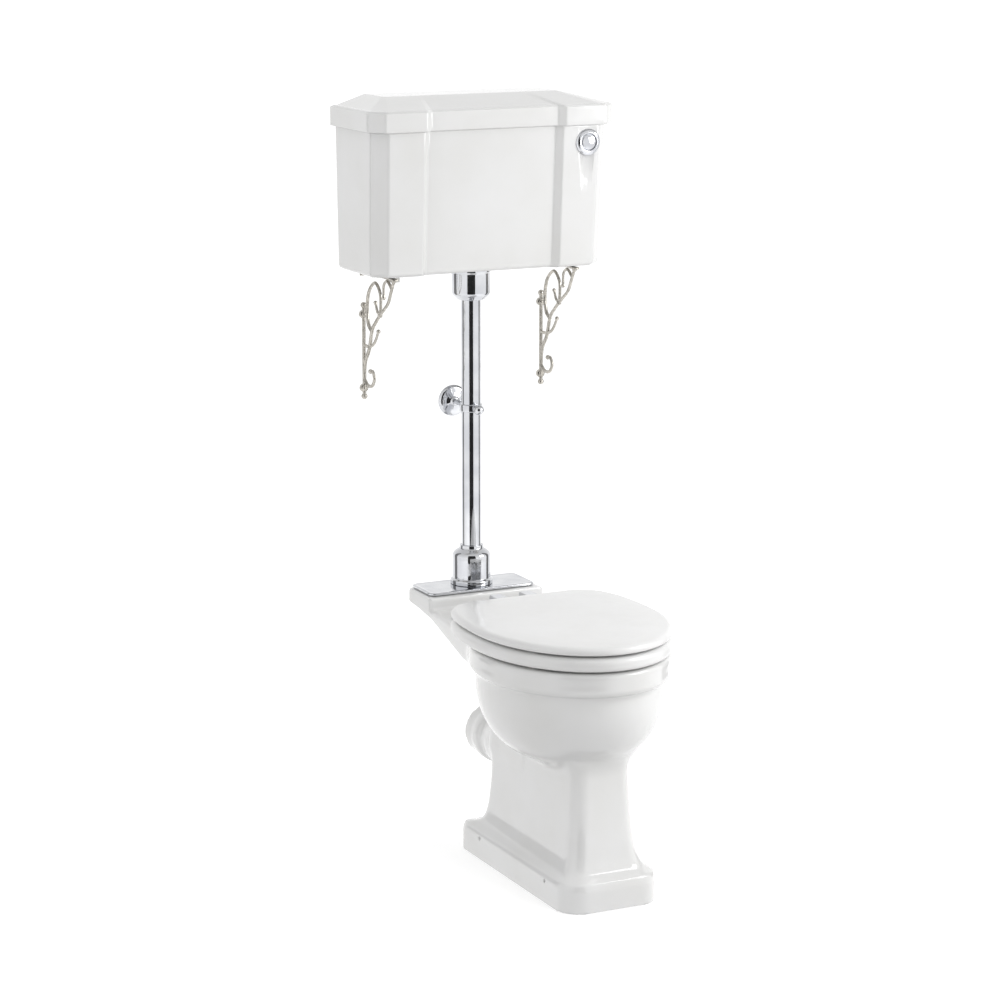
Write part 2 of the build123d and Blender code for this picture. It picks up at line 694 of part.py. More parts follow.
with BuildPart() as hinge_posts:
    for side in (-1, 1):
        turn(
            [
                (0, rim_z), (18, rim_z), (18, rim_z + 2), (15, rim_z + 5), (8.5, rim_z + 8),
                (7, rim_z + 14), (7, hinge_z), (0, hinge_z),
            ],
            side * post_x, hinge_d,
        )
        with Locations((side * post_x, out(hinge_d), hinge_z)):
            Sphere(9.5)
    bar_hole(hinge_half + 5)
save(hinge_posts.part, "hinge_posts")


def knuckles(name, span, strap):
    """A pair of tubes round the hinge bar, each with a strap to the edge of its panel."""
    with BuildPart() as pair:
        for side in (-1, 1):
            low_x = min(side * span[0], side * span[1])
            with BuildSketch(Plane.YZ.offset(low_x)) as knuckle:
                with BuildLine():
                    Polyline(*[(out(d), z) for d, z in strap], close=True)
                make_face()
                with Locations((out(hinge_d), hinge_z)):
                    Circle(8.5)
            extrude(knuckle.sketch, amount=span[1] - span[0])
        bar_hole(hinge_half)
    save(pair.part, name)


knuckles("ring_knuckles", (46, 65), [(262, 467), (seat_back, 467), (seat_back, 476), (262, 476)])
knuckles(
    "lid_knuckles", (20, 43),
    [(255, 478), (255, 495), (258, 499), (seat_back, 499), (seat_back, 492), (270, 492), (268, 478)],
)

with BuildPart() as seat_bolts:
    for side in (-1, 1):
        turn([(0, 418), (4, 418), (4, rim_z), (0, rim_z)], side * post_x, hinge_d)
save(seat_bolts.part, "seat_bolts")

deck_under = 440.0
with BuildPart() as bolt_washers:
    for side in (-1, 1):
        turn(
            [(4, deck_under - 3), (12, deck_under - 3), (12, deck_under), (4, deck_under)],
            side * post_x, hinge_d,
        )
save(bolt_washers.part, "bolt_washers")

with BuildPart() as wing_nuts:
    for side in (-1, 1):
        turn(
            [(4, deck_under - 15), (7, deck_under - 15), (9, deck_under - 3), (4, deck_under - 3)],
            side * post_x, hinge_d,
        )
        for wing in (-1, 1):
            with Locations((side * post_x + wing * 11.5, out(hinge_d), deck_under - 10)):
                Box(9, 3, 11)
save(wing_nuts.part, "wing_nuts")

# The brackets: scrolls cast in the vertical plane of each arm, with a bar down the wall. Two screws
# go through the collars on that bar. Each curve is a list of (distance from wall, height) points.
bar_d, bar_low, bar_high, collar_low, collar_high = 4.2, 856.0, 1034.0, 872.0, 1016.0
arm_top, arm_h, arm_w, arm_l, screw_r = 1104.5, 6.0, 11.0, 160.0, 2.5
pad_places = (35, 140)
scroll_curves = [  # bar width, then the points
    (
        7.6, (6, 886), (11, 922), (32, 952), (46, 990), (66, 1010), (92, 1030), (122, 1052),
        (137, 1076), (150, 1098),
    ),
    (
        7.4, (45, 988), (29, 1000), (23, 1030), (33, 1064), (62, 1084), (85, 1068), (88, 1044),
        (84, 1024),
    ),
    (7.2, (6, 890), (24, 880), (44, 882), (55, 896), (48, 910), (37, 909)),
    (6.4, (34, 956), (52, 964), (64, 975), (76, 992)),
    (6.0, (92, 1030), (74, 1028), (63, 1046)),
    (6.2, (140, 1082), (120, 1094), (103, 1084), (102, 1060)),
]

with BuildPart() as bracket_left:
    with BuildSketch(Plane.YZ.offset(-bracket_x)) as scrolls:
        for width, *points in scroll_curves:
            with BuildLine(mode=Mode.PRIVATE) as curve:
                Spline(*[(out(d), z) for d, z in points])
            trace(curve.line, line_width=width)
            with Locations((out(points[-1][0]), points[-1][1])):
                Circle(width * 0.62)
        with Locations((out(20), 956)):
            Rectangle(32, 6.6)
    extrude(amount=rod_r - 0.2, both=True)
    with BuildSketch(Plane.XY.offset(bar_low)):
        with Locations((-bracket_x, out(bar_d))):
            Circle(rod_r)
    extrude(amount=bar_high - bar_low)
    with Locations((-bracket_x, out(7), bar_low), (-bracket_x, out(6), bar_high)):
        Sphere(6)
    for height in (collar_low, collar_high):
        with BuildSketch(Plane(origin=(-bracket_x, out(0), height), z_dir=(0, -1, 0))):
            Circle(8)
        extrude(amount=9)
    with Locations((-bracket_x, out(arm_l / 2), arm_top - arm_h / 2)):
        Box(arm_w, arm_l, arm_h)
    with Locations((-bracket_x, out(2), arm_top - 22)):
        Box(arm_w, 4, 44)
    for height in (collar_low, collar_high):
        with BuildSketch(Plane(origin=(-bracket_x, out(-5), height), z_dir=(0, -1, 0))):
            Circle(screw_r)
        extrude(amount=20, mode=Mode.SUBTRACT)
save(bracket_left.part, "bracket_left")

with BuildPart() as bracket_right:
    mirror(bracket_left.part, about=Plane.YZ)
save(bracket_right.part, "bracket_right")

with BuildPart() as bracket_pads:
    with BuildSketch(Plane.XY.offset(arm_top)):
        with Locations(*[(side * bracket_x, out(d)) for side in (-1, 1) for d in pad_places]):
            RectangleRounded(10, 22, 4)
    extrude(amount=tank_low - arm_top)
save(bracket_pads.part, "bracket_pads")
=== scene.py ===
import math

import bpy
import numpy as np
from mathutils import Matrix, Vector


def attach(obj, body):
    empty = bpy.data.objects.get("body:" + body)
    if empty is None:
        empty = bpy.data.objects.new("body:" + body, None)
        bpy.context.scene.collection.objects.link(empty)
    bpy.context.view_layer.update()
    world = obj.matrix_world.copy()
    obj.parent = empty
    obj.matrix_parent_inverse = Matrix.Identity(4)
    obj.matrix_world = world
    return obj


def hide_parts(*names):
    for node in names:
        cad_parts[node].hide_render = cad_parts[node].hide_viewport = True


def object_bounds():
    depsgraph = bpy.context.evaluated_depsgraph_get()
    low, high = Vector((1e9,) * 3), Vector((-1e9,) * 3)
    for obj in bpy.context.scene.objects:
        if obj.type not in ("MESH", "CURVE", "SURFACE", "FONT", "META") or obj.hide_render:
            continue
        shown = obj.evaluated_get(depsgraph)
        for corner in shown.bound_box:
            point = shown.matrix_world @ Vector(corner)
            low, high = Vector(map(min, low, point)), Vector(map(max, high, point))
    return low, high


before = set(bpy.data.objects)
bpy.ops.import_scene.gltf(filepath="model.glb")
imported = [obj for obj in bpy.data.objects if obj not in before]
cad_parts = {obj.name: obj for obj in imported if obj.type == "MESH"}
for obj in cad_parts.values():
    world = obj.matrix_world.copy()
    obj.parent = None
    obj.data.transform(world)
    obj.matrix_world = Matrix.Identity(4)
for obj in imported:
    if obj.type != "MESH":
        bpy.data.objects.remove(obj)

# The camera stands 5.6 m off on the left of the front and looks down 12 degrees through a long lens.
# The wall behind the cistern is the back of the CAD box, and every depth below is a distance out
# from that wall, in millimetres, as a fitter would measure it.
cad_low, cad_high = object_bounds()
wall = cad_high.y
eye_x, eye_out, eye_z = -2.5324, 5.4162, 1.9078
look_down, look_right, lens = 12.1, 26.0, 110.6
camera = bpy.data.objects.new("camera", bpy.data.cameras.new("camera"))
camera.data.lens = lens
camera.location = (eye_x, wall - eye_out, eye_z)
camera.rotation_euler = (math.radians(90 - look_down), 0, math.radians(-look_right))
bpy.context.collection.objects.link(camera)
bpy.context.scene.camera = camera
bpy.context.scene.view_settings.view_transform = "Standard"


# The pan: one casting of fireclay in a white glaze. A foot and a waisted column carry an egg-shaped
# bowl with a banded rim; a deck runs back to a raised shelf for the flush pipe, and the trap swells
# out behind the column and ends in a spigot. Slip-cast, so every edge is rounded and walls flow.
rim_top, rim_low, rim_mid = 454.0, 412.0, 509.0
rim_half_w, rim_half_l = 180.0, 217.0
bowl_half_w, bowl_half_l, bowl_mid, bowl_shoulder, bowl_drop = 168.0, 204.0, 508.0, 385.0, 142.0
foot_h, foot_half_w, foot_back, foot_front, foot_cant = 54.0, 98.0, 242.0, 695.0, 27.0
column_half_w, column_back, column_front, column_top = 56.0, 292.0, 646.0, 262.0
deck_back, shelf_front, shelf_top, deck_half_w = 41.0, 156.0, 476.0, 121.0
mouth_half_w, mouth_half_l, mouth_mid = 116.0, 150.0, 520.0
outlet_z, outlet_back, outlet_r, trap_r, trap_bore = 205.0, 160.0, 51.0, 48.0, 38.0
fixing_z, fixing_r, fixings = 42.0, 4.0, (330.0, 605.0)


def join(a, b, k):
    """Union of two fields with a fillet: min(a, b) - k h (1 - h), where h runs 0 to 1 across a = b."""
    h = np.clip(0.5 + 0.5 * (b - a) / k, 0, 1)
    return b + (a - b) * h - k * h * (1 - h)


def meet(a, b, k):
    """Intersection of two fields with a rounded edge, the opposite of join."""
    return -join(-a, -b, k)


def slab(side, height, r):
    """A wall and a lid that meet in an edge of radius r: |max(q, 0)| + min(max q, 0) - r."""
    p, q = side + r, height + r
    return np.hypot(np.maximum(p, 0), np.maximum(q, 0)) + np.minimum(np.maximum(p, q), 0) - r


def oval(x, d, half_w, half_l, mid):
    """Distance to an upright ellipse, (u - 1) / |grad u| with u = |(x / a, (d - c) / b)|."""
    u = np.hypot(x / half_w, (d - mid) / half_l) + 1e-6
    slope = np.hypot(x / half_w**2, (d - mid) / half_l**2) / u + 1e-6
    return (u - 1) / slope


def egg(x, d, z, inset):
    """The bowl: u cubed plus t squared = 1, with u the oval's radius and t the drop below the shoulder."""
    a, b, drop = bowl_half_w - inset, bowl_half_l - inset, bowl_drop - inset
    u = np.hypot(x / a, (d - bowl_mid) / b) + 1e-6
    t = np.maximum(bowl_shoulder - z, 0) / drop
    slope = 3 * u * np.hypot(x / a**2, (d - bowl_mid) / b**2)
    return (u**3 + t**2 - 1) / np.sqrt(slope**2 + (2 * t / drop) ** 2 + 1e-6)


def canted(x, d, half_w, back, front, cant, k):
    """Distance to a level rectangle whose two front corners are cut off at 45 degrees."""
    sides = meet(np.abs(x) - half_w, back - d, 2 * k)
    cut = (np.abs(x) - half_w + d - front + cant) * math.sqrt(0.5)
    return meet(meet(sides, d - front, k), cut, k)


def pedestal(x, d, z, inset):
    """Column on a foot: the outline grows by 16 exp(-h/15) + 21 exp(-h/90) at height h over the foot."""
    h = np.maximum(z - foot_h, 0)
    flare = 16 * np.exp(-h / 15) + 21 * np.exp(-h / 90)
    heel = column_back - 46 * np.exp(-h / 9)
    cant = 14 + 13 * flare / 42
    half_w = column_half_w + flare - inset
    toe = column_front + 1.15 * flare
    column = canted(x, d, half_w, heel + inset, toe - inset, cant, 9)
    column = meet(column / np.sqrt(1 + (flare / 22) ** 2), z - column_top, 4)
    foot = canted(x, d, foot_half_w - inset, foot_back + inset, foot_front - inset, foot_cant, 16)
    foot = slab(foot, z - foot_h, 15)
    return meet(join(column, foot, 14), -z, 1.5)


def pipe(x, d, z, ends, radius):
    """Distance to a round bar between two (distance, height) points, with round ends."""
    (d0, z0), (d1, z1) = ends
    run_d, run_z = d1 - d0, z1 - z0
    share = np.clip(((d - d0) * run_d + (z - z0) * run_z) / (run_d**2 + run_z**2), 0, 1)
    return np.sqrt(x**2 + (d - d0 - share * run_d) ** 2 + (z - z0 - share * run_z) ** 2) - radius


def pan_field(x, d, z):
    """The whole pan as one field in millimetres, below zero inside the clay."""
    rim = slab(oval(x, d, rim_half_w, rim_half_l, rim_mid), np.abs(z - (rim_top + rim_low) / 2) - 21, 8)
    bowl = meet(egg(x, d, z, 0.0), z - rim_low - 4, 4)
    body = join(bowl, rim, 16)
    # the deck widens towards the bowl, and its underside rises towards the wall
    half_w = deck_half_w + 29 * np.clip((d - shelf_front) / 250, 0, 1)
    plan = slab(np.abs(x) - half_w, deck_back - d, 18)
    under = np.interp(d, (41, 78, 345), (452, 446, 403))
    deck = slab(np.maximum(plan, d - 430), np.maximum(z - rim_top, under - z), 8)
    shelf = slab(np.maximum(plan, d - shelf_front), np.maximum(z - shelf_top, 450 - z), 5)
    body = join(body, join(deck, shelf, 7), 12)
    # the column, and the trap behind it
    box = slab(np.maximum(np.abs(x) - column_half_w, np.abs(d - 359) - 71), np.abs(z - 309) - 109, 12)
    stand = join(pedestal(x, d, z, 0.0), box, 12)
    spigot = slab(np.hypot(x, z - outlet_z) - outlet_r, np.abs(d - outlet_back - 30) - 30, 3)
    neck = slab(np.hypot(x, z - outlet_z) - trap_r, np.abs(d - 260) - 65, 12)
    bend = join(pipe(x, d, z, ((345, 284), (272, outlet_z + 5)), trap_r + 3), join(neck, spigot, 16), 20)
    body = join(body, join(stand, bend, 18), 26)
    # the hollows: mouth, basin under the rim, sump and trap bore
    basin = meet(egg(x, d, z, 15.0), z - (rim_top - 14), 5)
    mouth = np.maximum(oval(x, d, mouth_half_w, mouth_half_l, mouth_mid), 400 - z)
    sump = pipe(x, d, z, ((530, 290), (530, 175)), trap_bore)
    sump = join(sump, pipe(x, d, z, ((530, 175), (440, 150)), trap_bore), 15)
    bore = np.maximum(np.hypot(x, z - outlet_z) - trap_bore, d - 260)
    hollow = join(join(basin, mouth, 3), sump, 12)
    edge = np.abs(oval(x, d, mouth_half_w + 4, mouth_half_l + 4, mouth_mid)) - 4
    lip = slab(edge, np.abs(z - 432) - 18, 3.5)
    body = join(meet(body, -hollow, 5), lip, 3)
    inlet = np.maximum(np.hypot(x, d - 85) - 27.5, 458 - z)
    under_foot = np.maximum(pedestal(x, d, z, 12.0), z - 200)
    return meet(meet(body, -np.minimum(bore, inlet), 2), -under_foot, 3)


def spaced(low, high, step, fine=()):
    """Grid planes step apart, with planes fine_step apart between each (from, to, fine_step)."""
    planes = [np.arange(low, high + step, step)]
    for start, end, fine_step in fine:
        planes = [p[(p < start) | (p > end)] for p in planes] + [np.arange(start, end, fine_step)]
    return np.unique(np.concatenate(planes).round(3))


def field_mesh(name, field, xs, ds, zs):
    """A closed mesh on the places where field(x, d, z) is zero.

    Each grid cell that the surface crosses gets one vertex at the mean of the crossings on its
    edges, and each crossed grid edge one quad. Then every vertex moves to the mean of its
    neighbours and back onto the surface by p - f g / |g|^2, a few times over.
    """
    axes = (xs, ds, zs)
    f = field(*np.meshgrid(*axes, indexing="ij"))
    cells = tuple(n - 1 for n in f.shape)
    total, count = np.zeros(cells + (3,)), np.zeros(cells)
    crossings = []
    for axis in range(3):
        low = np.take(f, range(f.shape[axis] - 1), axis)
        high = np.take(f, range(1, f.shape[axis]), axis)
        hit = np.argwhere((low < 0) != (high < 0))
        at = tuple(hit.T)
        share = low[at] / (low[at] - high[at])
        point = np.stack([axes[i][hit[:, i]] for i in range(3)], 1)
        point[:, axis] += share * (axes[axis][hit[:, axis] + 1] - axes[axis][hit[:, axis]])
        others = [i for i in range(3) if i != axis]
        inner = np.all([(hit[:, i] > 0) & (hit[:, i] < cells[i]) for i in others], 0)
        around = []
        for step in ((1, 1), (0, 1), (0, 0), (1, 0)):
            cell = hit[inner].copy()
            cell[:, others] -= step
            around.append(cell)
            np.add.at(total, tuple(cell.T), point[inner])
            np.add.at(count, tuple(cell.T), 1)
        crossings.append((around, (low[at][inner] < 0) != (axis == 1)))
    used = count > 0
    number = np.full(cells, -1)
    number[used] = np.arange(used.sum())
    points = total[used] / count[used][:, None]
    quads = []
    for around, outward in crossings:
        quad = np.stack([number[tuple(cell.T)] for cell in around], 1)
        quads.append(np.where(outward[:, None], quad, quad[:, ::-1]))
    quads = np.concatenate(quads)
    ends = np.concatenate([quads[:, (i, (i + 1) % 4)] for i in range(4)])
    degree = np.bincount(ends[:, 0], minlength=len(points))
    for _ in range(5):
        mean = np.stack([np.bincount(ends[:, 0], points[ends[:, 1], i], len(points)) for i in range(3)], 1)
        points = 0.4 * points + 0.6 * mean / degree[:, None]
        points = on_surface(field, points)
    return put_mesh(name, points, quads)


def on_surface(field, points):
    """Newton's step, p - f g / |g|^2 with g by central differences, taken twice and kept short."""
    for _ in range(2):
        f = field(*points.T)
        g = np.stack([field(*(points + e).T) - field(*(points - e).T) for e in np.eye(3) * 0.1], 1) / 0.2
        step = f[:, None] * g / np.maximum((g**2).sum(1), 0.05)[:, None]
        points = points - np.clip(step, -3, 3)
    return points


def put_mesh(name, points, faces, smooth=40):
    """An object from points (x, distance from the wall, height) in millimetres, facing outwards."""
    place = np.asarray(points, float) * (0.001, -0.001, 0.001) + (0, wall, 0)
    mesh = bpy.data.meshes.new(name)
    mesh.from_pydata(place, [], [list(face) for face in faces])
    mesh.calc_loop_triangles()
    corners = np.zeros(len(mesh.loop_triangles) * 3, int)
    mesh.loop_triangles.foreach_get("vertices", corners)
    a, b, c = place[corners.reshape(-1, 3)].transpose(1, 0, 2)
    if (a * np.cross(b, c)).sum() < 0:
        mesh.flip_normals()
    mesh.shade_smooth()
    mesh.set_sharp_from_angle(angle=math.radians(smooth))
    piece = bpy.data.objects.new(name, mesh)
    bpy.context.collection.objects.link(piece)
    return piece


def drilled(piece, cutters):
    """The piece with closed cutting shapes taken away from it, which are then removed."""
    for cutter in cutters:
        cut = piece.modifiers.new("cut", "BOOLEAN")
        cut.operation, cut.solver, cut.object = "DIFFERENCE", "EXACT", cutter
    result = bpy.data.meshes.new_from_object(piece.evaluated_get(bpy.context.evaluated_depsgraph_get()))
    piece.modifiers.clear()
    piece.data = result
    for cutter in cutters:
        bpy.data.objects.remove(cutter)
    return piece


def rod(name, start, end, radius, count=40):
    """A round bar: a circle of count points at each end of the line from start to end, both capped."""
    start, end = np.array(start, float), np.array(end, float)
    along = (end - start) / np.linalg.norm(end - start)
    side = np.cross(along, (0, 0, 1) if abs(along[2]) < 0.9 else (1, 0, 0))
    side = side / np.linalg.norm(side)
    turn = np.linspace(0, 2 * np.pi, count, endpoint=False)[:, None]
    circle = radius * (np.cos(turn) * side + np.sin(turn) * np.cross(along, side))
    here = np.arange(count)
    next_one = np.roll(here, -1)
    walls = np.stack([here, next_one, next_one + count, here + count], 1).tolist()
    return put_mesh(name, np.concatenate([start + circle, end + circle]), walls + [here[::-1], here + count])


def material(name, colour, roughness, metallic=0.0):
    """A Principled material, and what a pattern needs: its tree, its shader and object coordinates."""
    made = bpy.data.materials.new(name)
    made.use_nodes = True
    shader = made.node_tree.nodes["Principled BSDF"]
    shader.inputs["Base Color"].default_value = (*colour, 1)
    shader.inputs["Roughness"].default_value = roughness
    shader.inputs["Metallic"].default_value = metallic
    place = made.node_tree.nodes.new("ShaderNodeTexCoord").outputs["Object"]
    return made, made.node_tree, shader, place


def speckle(tree, place, scale, detail=3.0, stretch=(1, 1, 1)):
    """Noise over the object, scale lumps to the metre."""
    turn = tree.nodes.new("ShaderNodeMapping")
    turn.inputs["Scale"].default_value = stretch
    tree.links.new(place, turn.inputs["Vector"])
    noise = tree.nodes.new("ShaderNodeTexNoise")
    noise.inputs["Scale"].default_value = scale
    noise.inputs["Detail"].default_value = detail
    tree.links.new(turn.outputs["Vector"], noise.inputs["Vector"])
    return noise.outputs["Fac"]


def vary(tree, value, socket, low, high, start=0.35, end=0.65):
    """Runs a shader socket from low to high as the pattern goes from start to end."""
    ramp = tree.nodes.new("ShaderNodeMapRange")
    for name, number in (("From Min", start), ("From Max", end), ("To Min", low), ("To Max", high)):
        ramp.inputs[name].default_value = number
    tree.links.new(value, ramp.inputs["Value"])
    tree.links.new(ramp.outputs["Result"], socket)


def tint(tree, value, socket, colour_a, colour_b, start=0.35, end=0.65):
    """Runs a colour socket from one colour to another as the pattern goes from start to end."""
    ramp = tree.nodes.new("ShaderNodeValToRGB")
    ramp.color_ramp.elements[0].position, ramp.color_ramp.elements[1].position = start, end
    ramp.color_ramp.elements[0].color = (*colour_a, 1)
    ramp.color_ramp.elements[1].color = (*colour_b, 1)
    tree.links.new(value, ramp.inputs["Fac"])
    tree.links.new(ramp.outputs["Color"], socket)


def relief(tree, shader, *layers):
    """Bumps the surface by patterns, each (value, height in millimetres), one on top of another."""
    normal = None
    for value, height in layers:
        bump = tree.nodes.new("ShaderNodeBump")
        bump.inputs["Distance"].default_value = height * 0.001
        tree.links.new(value, bump.inputs["Height"])
        if normal:
            tree.links.new(normal, bump.inputs["Normal"])
        normal = bump.outputs["Normal"]
    tree.links.new(normal, shader.inputs["Normal"])


def glaze():
    """White glaze on fireclay: a glassy coat, thinner and warmer in places, with a slow ripple in it."""
    made, tree, shader, place = material("glaze", (0.78, 0.78, 0.775), 0.12)
    shader.inputs["Coat Weight"].default_value = 0.6
    shader.inputs["Coat Roughness"].default_value = 0.03
    shader.inputs["Specular IOR Level"].default_value = 0.55
    tint(
        tree, speckle(tree, place, 7, 4), shader.inputs["Base Color"],
        (0.80, 0.80, 0.798), (0.765, 0.763, 0.752),
    )
    vary(tree, speckle(tree, place, 60, 5), shader.inputs["Roughness"], 0.07, 0.17)
    relief(tree, shader, (speckle(tree, place, 14, 1), 0.22), (speckle(tree, place, 260, 2), 0.0025))
    return made


white_glaze = glaze()


def finish_piece(piece, body, finish, slot, *nodes):
    """Gives a piece its material and its body, and hides the CAD nodes that it stands for."""
    piece.data.materials.clear()
    piece.data.materials.append(finish)
    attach(piece, body)
    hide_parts(*nodes)
    return piece


xs = spaced(-186, 186, 4.9)
ds = spaced(35, 732, 4.9)
zs = spaced(-3, 482, 4.9, fine=((-3, 66, 3.0), (404, 482, 3.0)))
pan = field_mesh("pan_casting", pan_field, xs, ds, zs)
screw_bores = [
    rod("bore", (side * 84, d, fixing_z), (side * 104, d, fixing_z), fixing_r)
    for side in (-1, 1) for d in fixings
]
finish_piece(drilled(pan, screw_bores), "root", white_glaze, "glaze", "pan")


def skin(name, rings, tube=False, smooth=40):
    """Quads from ring to ring of a (rings, points, 3) array; the end rings close to their middles.

    On a tube the last ring joins the first instead.
    """
    rings = np.array(rings, float)
    rows, count = rings.shape[:2]
    here = np.arange(count)
    ahead = np.roll(here, -1)
    low = np.arange(rows if tube else rows - 1)[:, None] * count
    high = (low + count) % (rows * count)
    quads = np.stack([low + here, low + ahead, high + ahead, high + here], -1).reshape(-1, 4).tolist()
    if tube:
        return put_mesh(name, rings.reshape(-1, 3), quads, smooth)
    middle, last = rows * count, (rows - 1) * count
    fans = [
        np.stack([ahead, here, 0 * here + middle], 1),
        np.stack([last + here, last + ahead, 0 * here + middle + 1], 1),
    ]
    points = np.concatenate([rings.reshape(-1, 3), rings[[0, -1]].mean(1)])
    return put_mesh(name, points, quads + fans[0].tolist() + fans[1].tolist(), smooth)


def rounded(corners, steps=6, closed=True, fill=0):
    """The path through corners (a, b, radius), each one an arc that touches its two sides.

    The arc's centre is on the bisector at radius / sin(half the corner), and the touching points are
    radius / tan(half the corner) along the sides. fill adds points on each side, closer at its ends.
    """
    spots = np.array(corners, float)
    path = []
    for i, (a, b, radius) in enumerate(spots):
        corner = np.array((a, b))
        before, after = spots[i - 1, :2], spots[(i + 1) % len(spots), :2]
        if not closed and i in (0, len(spots) - 1):
            arc = corner[None]
        else:
            u = (before - corner) / np.linalg.norm(before - corner)
            v = (after - corner) / np.linalg.norm(after - corner)
            half = max(math.acos(np.clip(u @ v, -1, 1)) / 2, 1e-3)
            centre = corner + (u + v) / (np.linalg.norm(u + v) + 1e-9) * radius / math.sin(half)
            touch = radius / math.tan(half)
            start, end = corner + u * touch - centre, corner + v * touch - centre
            angle = math.atan2(start[1], start[0])
            sweep = (math.atan2(end[1], end[0]) - angle + math.pi) % (2 * math.pi) - math.pi
            turn = angle + sweep * np.linspace(0, 1, steps)
            arc = centre + np.linalg.norm(start) * np.stack([np.cos(turn), np.sin(turn)], 1)
        if path and fill:
            path.append(between(path[-1][-1], arc[0], fill))
        path.append(arc)
    if closed and fill:
        path.append(between(path[-1][-1], path[0][0], fill))
    return np.concatenate(path)


def between(start, end, count):
    """count points from start to end, at (1 - cos) / 2 of the way, so that they crowd at both ends."""
    share = (1 - np.cos(np.linspace(0, np.pi, count + 2)[1:-1, None])) / 2
    return start + share * (end - start)


def level(path, z):
    """A ring at one height from a path of (x, distance) points."""
    return np.column_stack([path, np.full(len(path), float(z))])


# The cistern: a fireclay box in the same glaze, open on top. Its front corners are cut off at 45
# degrees, and a wide middle panel is set back behind a short slope on each side; the walls draw in
# a little towards the bottom. It is cast, so the edges are soft, and its holes are cut before firing.
tank_half_w, tank_depth, tank_low, tank_high, tank_wall, tank_floor = 244.0, 195.0, 1107.0, 1380.0, 10.0, 12.0
tank_draw_w, tank_draw_d, tank_cant, tank_step, panel_half_w = 4.0, 17.0, 25.0, 12.0, 132.0
tank_edge = 9.0
button_x, button_z, button_hole = 196.0, 1347.0, 18.4
pipe_d, fill_x, fill_d, fill_hole = 85.0, -150.0, 60.0, 11.0
wall_screw_x, wall_screw_z, wall_screw_r = 150.0, 1345.0, 3.5


def tank_plan(half_w, depth, inset):
    """The level outline of cistern and cover: cut corners and a set-back panel, every corner an arc."""
    w, f, p = half_w - inset, depth - inset, panel_half_w - 0.4 * inset
    right = [
        (w, max(inset, 0.0), 3), (w, f - tank_cant, 9), (w - tank_cant, f, 9),
        (p + tank_step, f, 7), (p, f - tank_step, 7),
    ]
    return rounded(right + [(-x, d, r) for x, d, r in reversed(right)], fill=8)


def tank_ring(z, inset):
    """The outline at a height: half width and depth fall in step from the top edge to the bottom."""
    share = (tank_high - z) / (tank_high - tank_low)
    return level(tank_plan(tank_half_w - tank_draw_w * share, tank_depth - tank_draw_d * share, inset), z)


# inset from the outside and height: under the floor, up the outside, over the edge, down the inside
tank_side = rounded([
    (40, tank_low, 0), (0, tank_low, tank_edge), (0, tank_high, 3), (tank_wall, tank_high, 3),
    (tank_wall, tank_low + tank_floor, 8), (40, tank_low + tank_floor, 0),
], closed=False, fill=3)
cistern = skin("cistern_box", [tank_ring(z, inset) for inset, z in tank_side])
deep = tank_depth + 20
cutters = [
    rod("button_bore", (button_x, 150, button_z), (button_x, deep, button_z), button_hole),
    rod("fill_bore", (fill_x, fill_d, tank_low - 5), (fill_x, fill_d, tank_low + 25), fill_hole),
]
for side in (-1, 1):
    x = side * wall_screw_x
    cutters.append(rod("screw_bore", (x, -5, wall_screw_z), (x, 25, wall_screw_z), wall_screw_r, 24))
finish_piece(drilled(cistern, cutters), "root", white_glaze, "glaze", "cistern")


# The cistern's cover: a glazed slab with a deep skirt that follows the outline of the box, and
# shallow slopes up to a flat top against the wall. A rib under it drops inside the box, and it lifts
# straight off.
cover_half_w, cover_depth, cover_low, cover_rim, cover_top = 255.0, 206.0, 1380.3, 1420.0, 1438.0
top_half_w, top_depth, rib_low, rib_out, rib_in, recess = 184.0, 90.0, 1374.0, 26.0, 33.0, 1398.0


def cover_ring(z, inset):
    """The cover's outline at a height, inset from the face of its skirt."""
    return level(tank_plan(cover_half_w, cover_depth, inset), z)


cover_side = rounded([
    (60, recess, 0), (rib_in, recess, 3), (rib_in, rib_low, 1.5), (rib_out, rib_low, 1.5),
    (rib_out, cover_low, 1), (0, cover_low, 2.5), (0, cover_rim - 4, 0.5), (1.6, cover_rim - 3, 0.5),
    (1.6, cover_rim, 6), (10, cover_rim, 0),
], closed=False, fill=2)
slope_foot = cover_ring(cover_rim, 10)
right = [
    (top_half_w, 3, 1), (top_half_w, 84, 3), (top_half_w - 6, top_depth, 3), (115, top_depth, 1),
    (106, top_depth, 1),
]
flat_top = level(rounded(right + [(-x, d, r) for x, d, r in reversed(right)], fill=8), cover_top)
shares = (1 - np.cos(np.linspace(0, np.pi, 12))) / 2
slope = [slope_foot + (flat_top - slope_foot) * share for share in shares]
inner_top = flat_top.copy()
inner_top[:, 0] *= 0.97
inner_top[:, 1] = 45 + (inner_top[:, 1] - 45) * 0.94
cover_side = [cover_ring(z, inset) for inset, z in cover_side]
cover = skin("cistern_cover", cover_side + slope[1:] + [inner_top], smooth=60)
finish_piece(cover, "cover", white_glaze, "glaze", "cistern_lid")


# The chrome on the shelf: a pressed plate with a rolled edge lies on a rubber gasket, and a turned
# cap with a spread foot hides the rubber cone where the flush pipe goes down into the pan.
plate_half_w, plate_back, plate_front, plate_low, plate_top = 113.5, 43.5, 141.0, 477.5, 482.6
pipe_r, pipe_fit = 19.0, 19.05


